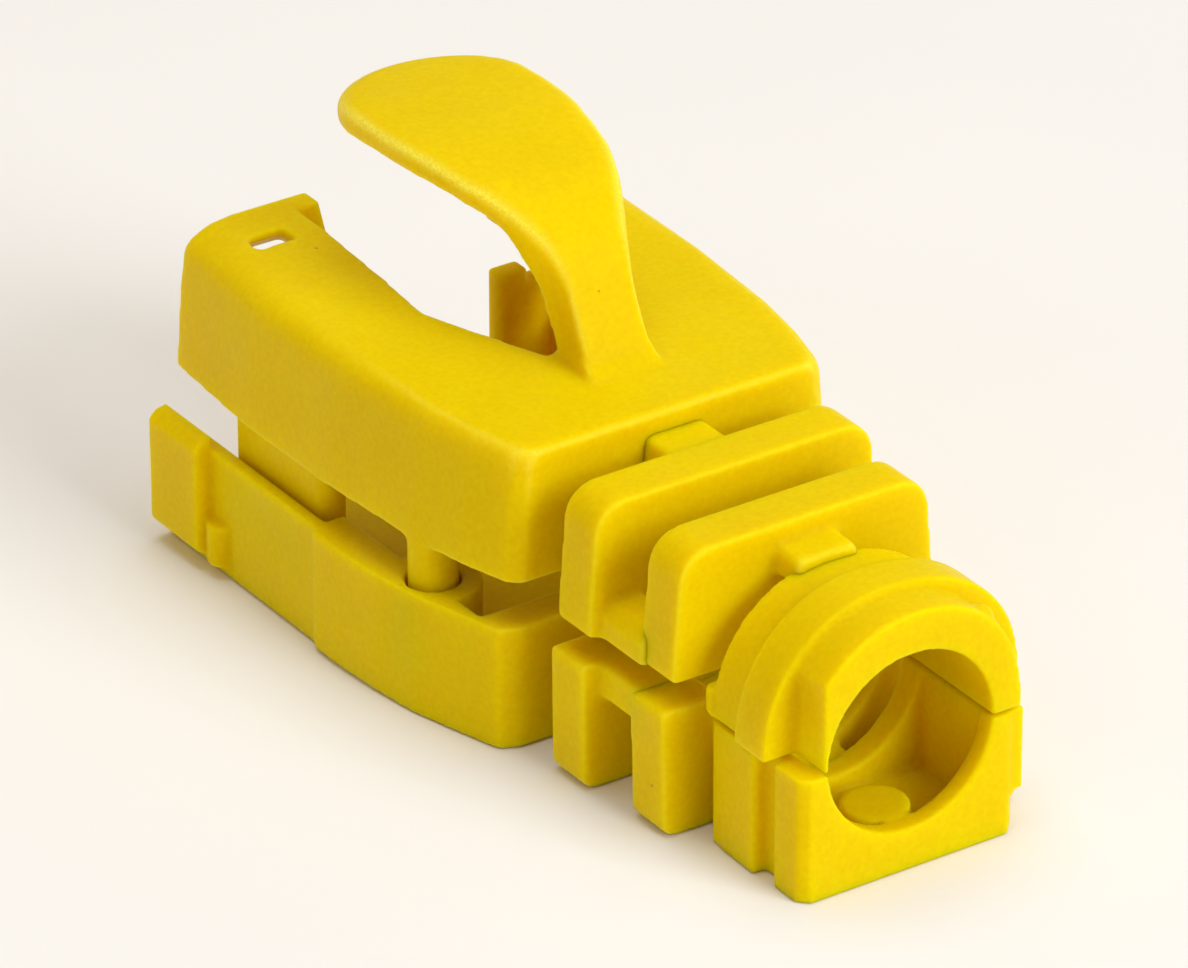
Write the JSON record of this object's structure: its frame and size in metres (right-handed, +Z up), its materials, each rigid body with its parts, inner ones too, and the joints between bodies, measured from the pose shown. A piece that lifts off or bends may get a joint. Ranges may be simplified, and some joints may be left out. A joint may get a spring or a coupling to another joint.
{
  "type": "modular plug boot",
  "caption": "Two-piece snap-together bend-relief boot for a modular plug, with a latch guard, bending ribs and an open cable collar.",
  "frame": {"origin": "middle of the length and width, on the base that the lower half stands on", "axes": "+Y towards the plug end, +Z up through the hood, +X to the right seen from the cable end"},
  "size_m": [0.0154, 0.029, 0.0149],
  "materials": {
    "yellow_plastic": "satin moulded"
  },
  "bodies": {
    "lower_head": {"lower_cradle": "yellow_plastic", "lower_front_tabs": "yellow_plastic", "grip_bumps": "yellow_plastic", "pin_bosses": "yellow_plastic", "guide_post": "yellow_plastic", "lower_spine_front": "yellow_plastic"},
    "lower_front_rib": {"lower_rib_front": "yellow_plastic", "lower_side_webs": "yellow_plastic"},
    "lower_rear_rib": {"lower_rib_rear": "yellow_plastic", "lower_spine_rear": "yellow_plastic"},
    "lower_tail": {"lower_collar": "yellow_plastic", "cable_pad": "yellow_plastic"},
    "upper_head": {"upper_hood": "yellow_plastic", "upper_tongue_left": "yellow_plastic", "upper_tongue_right": "yellow_plastic", "latch_hook": "yellow_plastic", "locating_pins": "yellow_plastic", "guard_flexure": "yellow_plastic", "upper_spine_front": "yellow_plastic"},
    "guard": {"latch_guard": "yellow_plastic"},
    "upper_front_rib": {"upper_rib_front": "yellow_plastic", "upper_side_webs": "yellow_plastic"},
    "upper_rear_rib": {"upper_rib_rear": "yellow_plastic", "upper_spine_rear": "yellow_plastic"},
    "upper_tail": {"upper_collar": "yellow_plastic", "collar_lugs": "yellow_plastic"}
  },
  "joints": [
    {"name": "lift_off", "type": "slide", "parent": "lower_head", "child": "upper_head", "axis": [0, 0, 1], "range_m": [0, 0.01]},
    {"name": "guard_press", "type": "hinge", "parent": "upper_head", "child": "guard", "pos_m": [0, 0.00082, 0.00995], "axis": [1, 0, 0], "range_deg": [-14, 3], "stiffness_Nm_per_rad": 0.004, "deforming": ["guard_flexure"]},
    {"name": "bend_front", "type": "hinge", "parent": "lower_head", "child": "lower_front_rib", "pos_m": [0, -0.00332, 0.0044], "axis": [0, 0, 1], "range_deg": [-6, 6], "stiffness_Nm_per_rad": 0.004, "deforming": ["lower_spine_front"]},
    {"name": "bend_middle", "type": "hinge", "parent": "lower_front_rib", "child": "lower_rear_rib", "pos_m": [0, -0.00662, 0.0044], "axis": [1, 0, 0], "range_deg": [-10, 10], "stiffness_Nm_per_rad": 0.004, "deforming": ["lower_side_webs"]},
    {"name": "bend_rear", "type": "hinge", "parent": "lower_rear_rib", "child": "lower_tail", "pos_m": [0, -0.00962, 0.0044], "axis": [0, 0, 1], "range_deg": [-6, 6], "stiffness_Nm_per_rad": 0.004, "deforming": ["lower_spine_rear"]},
    {"name": "upper_bend_front", "type": "hinge", "parent": "upper_head", "child": "upper_front_rib", "pos_m": [0, -0.00332, 0.0044], "axis": [0, 0, 1], "range_deg": [-6, 6], "stiffness_Nm_per_rad": 0.004, "deforming": ["upper_spine_front"]},
    {"name": "upper_bend_middle", "type": "hinge", "parent": "upper_front_rib", "child": "upper_rear_rib", "pos_m": [0, -0.00662, 0.0044], "axis": [1, 0, 0], "range_deg": [-10, 10], "stiffness_Nm_per_rad": 0.004, "deforming": ["upper_side_webs"]},
    {"name": "upper_bend_rear", "type": "hinge", "parent": "upper_rear_rib", "child": "upper_tail", "pos_m": [0, -0.00962, 0.0044], "axis": [0, 0, 1], "range_deg": [-6, 6], "stiffness_Nm_per_rad": 0.004, "deforming": ["upper_spine_rear"]}
  ],
  "couplings": [
    {"joint": "upper_bend_front", "follows": "bend_front", "ratio": 1},
    {"joint": "upper_bend_middle", "follows": "bend_middle", "ratio": 1},
    {"joint": "upper_bend_rear", "follows": "bend_rear", "ratio": 1}
  ]
}
